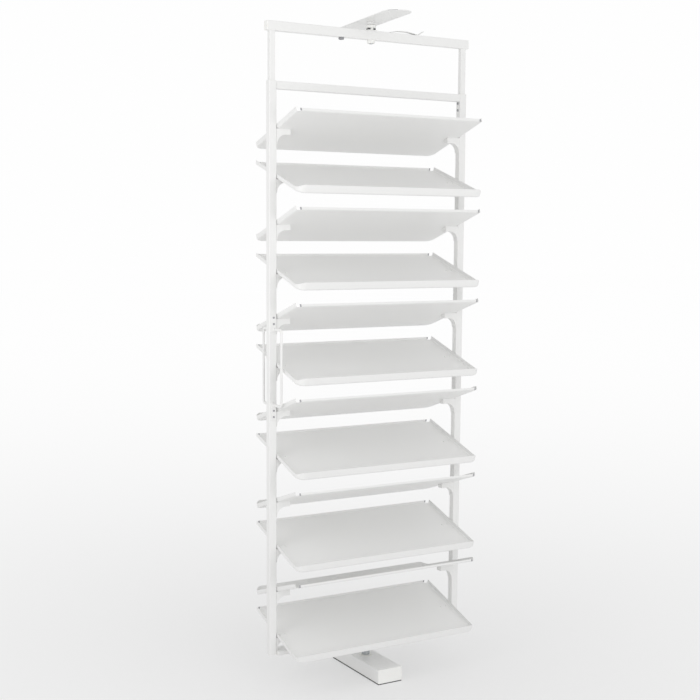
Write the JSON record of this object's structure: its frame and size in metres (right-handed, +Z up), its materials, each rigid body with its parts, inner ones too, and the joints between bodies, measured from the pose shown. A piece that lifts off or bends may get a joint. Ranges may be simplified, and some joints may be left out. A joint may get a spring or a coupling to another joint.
{
  "type": "rotating shoe rack",
  "caption": "Floor-to-ceiling rotating shoe rack: a tube frame turning on a base and a ceiling pivot, with sloping trays facing front and back by turns.",
  "frame": {"origin": "on the turning axis at the floor, under the middle of the base", "axes": "+Z up the turning axis, X along the frame from the handle post to the other post, -Y towards the front"},
  "size_m": [0.713, 0.447, 2.031],
  "materials": {
    "white_coat": "white powder coat on steel sheet and tube",
    "white_plastic": "moulded white plastic",
    "bearing_steel": "ground bearing steel",
    "cage_brass": "stamped brass",
    "dark_screw": "black oxide screws",
    "dark_plate": "dark zinc-plated steel plate"
  },
  "bodies": {
    "base": {"floor_plate": "dark_plate", "base_bar": "white_coat", "base_end_caps": "white_plastic", "bearing_housing": "bearing_steel", "lower_race": "bearing_steel", "bearing_balls": "bearing_steel", "ball_cage": "cage_brass", "guide_bush": "white_plastic"},
    "lower_frame": {"upper_race": "bearing_steel", "spindle": "bearing_steel", "bottom_crossbar": "white_coat", "middle_crossbar": "white_coat", "left_lower_post": "white_coat", "right_lower_post": "white_coat", "post_foot_plugs": "white_plastic", "telescope_sleeves": "white_plastic", "height_set_screws": "dark_screw", "handle_front": "white_coat", "handle_rear": "white_coat", "handle_screws": "dark_screw", "tray_1": "white_coat", "tray_2": "white_coat", "tray_3": "white_coat", "tray_4": "white_coat", "tray_5": "white_coat", "tray_6": "white_coat", "tray_7": "white_coat", "tray_8": "white_coat", "tray_9": "white_coat", "tray_10": "white_coat", "tray_11": "white_coat", "tray_12": "white_coat", "tray_1_brackets": "white_coat", "tray_2_brackets": "white_coat", "tray_3_brackets": "white_coat", "tray_4_brackets": "white_coat", "tray_5_brackets": "white_coat", "tray_6_brackets": "white_coat", "tray_7_brackets": "white_coat", "tray_8_brackets": "white_coat", "tray_9_brackets": "white_coat", "tray_10_brackets": "white_coat", "tray_11_brackets": "white_coat", "tray_12_brackets": "white_coat", "tray_screws": "white_coat", "bracket_screws": "white_coat"},
    "upper_frame": {"left_upper_tube": "white_coat", "right_upper_tube": "white_coat", "top_bar": "white_coat", "top_bar_end_caps": "white_plastic", "top_bar_connectors": "bearing_steel", "top_bar_screws": "dark_screw", "pivot_collar": "white_coat", "pivot_nub": "white_coat", "pivot_collar_screws": "dark_screw", "spring_rivet": "white_coat"},
    "pivot_pin": {"pivot_pin": "bearing_steel"},
    "pivot_spring": {"pivot_spring": "white_coat"},
    "ceiling_plate": {"ceiling_plate": "white_coat", "pivot_socket": "white_coat"}
  },
  "joints": [
    {"name": "frame_spin", "type": "hinge", "parent": "base", "child": "lower_frame", "pos_m": [0, 0, 0.0222], "axis": [0, 0, 1], "continuous": true},
    {"name": "height_adjust", "type": "slide", "parent": "lower_frame", "child": "upper_frame", "axis": [0, 0, 1], "range_m": [-0.11, 0.07]},
    {"name": "pin_retract", "type": "slide", "parent": "upper_frame", "child": "pivot_pin", "axis": [0, 0, 1], "range_m": [-0.012, 0], "stiffness_N_per_m": 1500, "springref_m": 0.01},
    {"name": "spring_flex", "type": "hinge", "parent": "upper_frame", "child": "pivot_spring", "pos_m": [0.165, 0, 2.00365], "axis": [0, 1, 0], "range_deg": [-4.5, 0]},
    {"name": "plate_turn", "type": "hinge", "parent": "upper_frame", "child": "ceiling_plate", "pos_m": [0, 0, 2.03], "axis": [0, 0, 1], "continuous": true}
  ],
  "couplings": [
    {"joint": "spring_flex", "follows": "pin_retract", "rad_per_m": 6.0606},
    {"joint": "plate_turn", "follows": "frame_spin", "ratio": -1}
  ]
}
